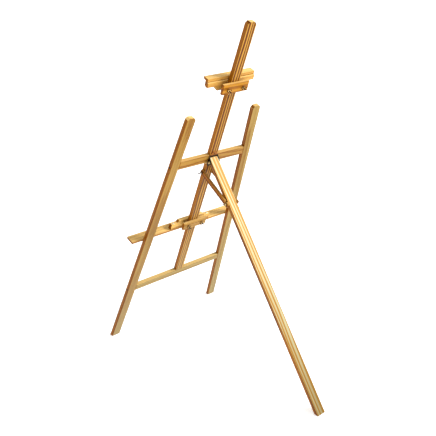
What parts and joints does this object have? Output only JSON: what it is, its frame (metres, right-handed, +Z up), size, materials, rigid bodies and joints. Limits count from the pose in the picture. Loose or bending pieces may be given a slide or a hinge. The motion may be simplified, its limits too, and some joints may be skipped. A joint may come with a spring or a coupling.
{
  "type": "a-frame artist easel",
  "caption": "Pine A-frame studio easel with splayed front legs, a central mast, a sliding canvas holder and tray, and a folding rear leg held by hooked stays.",
  "frame": {"origin": "on the floor under the middle of the open easel, halfway between the front edge of the front feet and the rear edge of the rear foot", "axes": "+Z up, +Y towards the rear leg, -Y the canvas side, +X the side on which the wing nuts of the hinge and of the stays sit"},
  "size_m": [0.696, 1.1172, 1.5717],
  "materials": {
    "pine": "planed and clear-varnished pine",
    "pale_pine": "planed and clear-varnished pine, pale",
    "amber_pine": "planed and clear-varnished pine, amber",
    "dowel": "plain beech",
    "zinc": "zinc-plated steel",
    "browned_steel": "steel lacquered dark brown",
    "brassed_steel": "brass-plated steel, tarnished"
  },
  "bodies": {
    "front_frame": {"left_front_leg": "pine", "right_front_leg": "pale_pine", "left_upper_bar_screw": "browned_steel", "left_upper_bar_dowel": "dowel", "left_lower_bar_screw": "browned_steel", "left_lower_bar_dowel": "dowel", "right_upper_bar_screw": "browned_steel", "right_upper_bar_dowel": "dowel", "right_lower_bar_screw": "browned_steel", "right_lower_bar_dowel": "dowel", "upper_crossbar": "amber_pine", "lower_crossbar": "pale_pine", "mast": "amber_pine", "mast_foot_screw": "zinc", "mast_lap_screw_1": "zinc", "mast_lap_screw_2": "zinc", "hinge_bracket": "browned_steel", "hinge_bracket_screw_1": "browned_steel", "hinge_bracket_screw_2": "browned_steel", "hinge_bracket_screw_3": "browned_steel", "hinge_bolt": "browned_steel", "hinge_washer": "browned_steel", "stay_pivot_bolt": "browned_steel", "stay_pivot_washer": "browned_steel", "stay_pivot_nut": "zinc"},
    "rear_leg_assembly": {"rear_leg": "pale_pine", "stay_clamp_bolt": "browned_steel", "stay_clamp_washer": "browned_steel"},
    "hinge_nut": {"hinge_wing_nut": "brassed_steel"},
    "stay_nut": {"stay_clamp_wing_nut": "brassed_steel"},
    "left_stay_arm": {"left_stay": "amber_pine"},
    "right_stay_arm": {"right_stay": "amber_pine"},
    "canvas_holder": {"holder_bar": "pine", "holder_block": "pine", "holder_block_screw_1": "zinc", "holder_block_screw_2": "zinc", "holder_clamp_plate": "amber_pine", "holder_bolt_left": "browned_steel", "holder_bolt_right": "browned_steel", "holder_washer_left": "browned_steel", "holder_washer_right": "browned_steel"},
    "holder_nut_left": {"holder_wing_nut_left": "brassed_steel"},
    "holder_nut_right": {"holder_wing_nut_right": "brassed_steel"},
    "canvas_tray": {"tray_plank": "pine", "tray_block": "pale_pine", "tray_key": "pine", "tray_block_screw_1": "zinc", "tray_block_screw_2": "zinc", "tray_clamp_plate": "amber_pine", "tray_bolt_left": "browned_steel", "tray_bolt_right": "browned_steel", "tray_washer_left": "browned_steel", "tray_washer_right": "browned_steel"},
    "tray_nut_left": {"tray_wing_nut_left": "brassed_steel"},
    "tray_nut_right": {"tray_wing_nut_right": "brassed_steel"}
  },
  "joints": [
    {"name": "rear_leg_fold", "type": "hinge", "parent": "front_frame", "child": "rear_leg_assembly", "pos_m": [0, -0.13338, 0.96181], "axis": [1, 0, 0], "range_deg": [-54, 0]},
    {"name": "left_stay_swing", "type": "hinge", "parent": "front_frame", "child": "left_stay_arm", "pos_m": [0, -0.1787, 0.9057], "axis": [1, 0, 0], "range_deg": [-80, 0]},
    {"name": "right_stay_swing", "type": "hinge", "parent": "front_frame", "child": "right_stay_arm", "pos_m": [0, -0.1787, 0.9057], "axis": [1, 0, 0], "range_deg": [-80, 0]},
    {"name": "holder_slide", "type": "slide", "parent": "front_frame", "child": "canvas_holder", "axis": [0, 0.3746, 0.9272], "range_m": [-0.29, 0.225]},
    {"name": "tray_slide", "type": "slide", "parent": "front_frame", "child": "canvas_tray", "axis": [0, 0.3746, 0.9272], "range_m": [-0.3, 0.05]},
    {"name": "hinge_nut_turn", "type": "hinge", "parent": "front_frame", "child": "hinge_nut", "pos_m": [0.0273, -0.13338, 0.96181], "axis": [1, 0, 0], "continuous": true},
    {"name": "stay_nut_turn", "type": "hinge", "parent": "rear_leg_assembly", "child": "stay_nut", "pos_m": [0.0353, -0.01781, 0.79858], "axis": [1, 0, 0], "continuous": true},
    {"name": "holder_nut_left_turn", "type": "hinge", "parent": "canvas_holder", "child": "holder_nut_left", "pos_m": [0.03978, 0.00231, 1.29684], "axis": [0, 0.9272, -0.3746], "continuous": true},
    {"name": "holder_nut_right_turn", "type": "hinge", "parent": "canvas_holder", "child": "holder_nut_right", "pos_m": [-0.04016, 0.00346, 1.29969], "axis": [0, 0.9272, -0.3746], "continuous": true},
    {"name": "tray_nut_left_turn", "type": "hinge", "parent": "canvas_tray", "child": "tray_nut_left", "pos_m": [0.04, -0.27395, 0.61308], "axis": [0, 0.9272, -0.3746], "continuous": true},
    {"name": "tray_nut_right_turn", "type": "hinge", "parent": "canvas_tray", "child": "tray_nut_right", "pos_m": [-0.04, -0.27395, 0.61308], "axis": [0, 0.9272, -0.3746], "continuous": true}
  ],
  "couplings": [
    {"joint": "left_stay_swing", "follows": "rear_leg_fold", "ratio": 1.45},
    {"joint": "right_stay_swing", "follows": "rear_leg_fold", "ratio": 1.45}
  ]
}
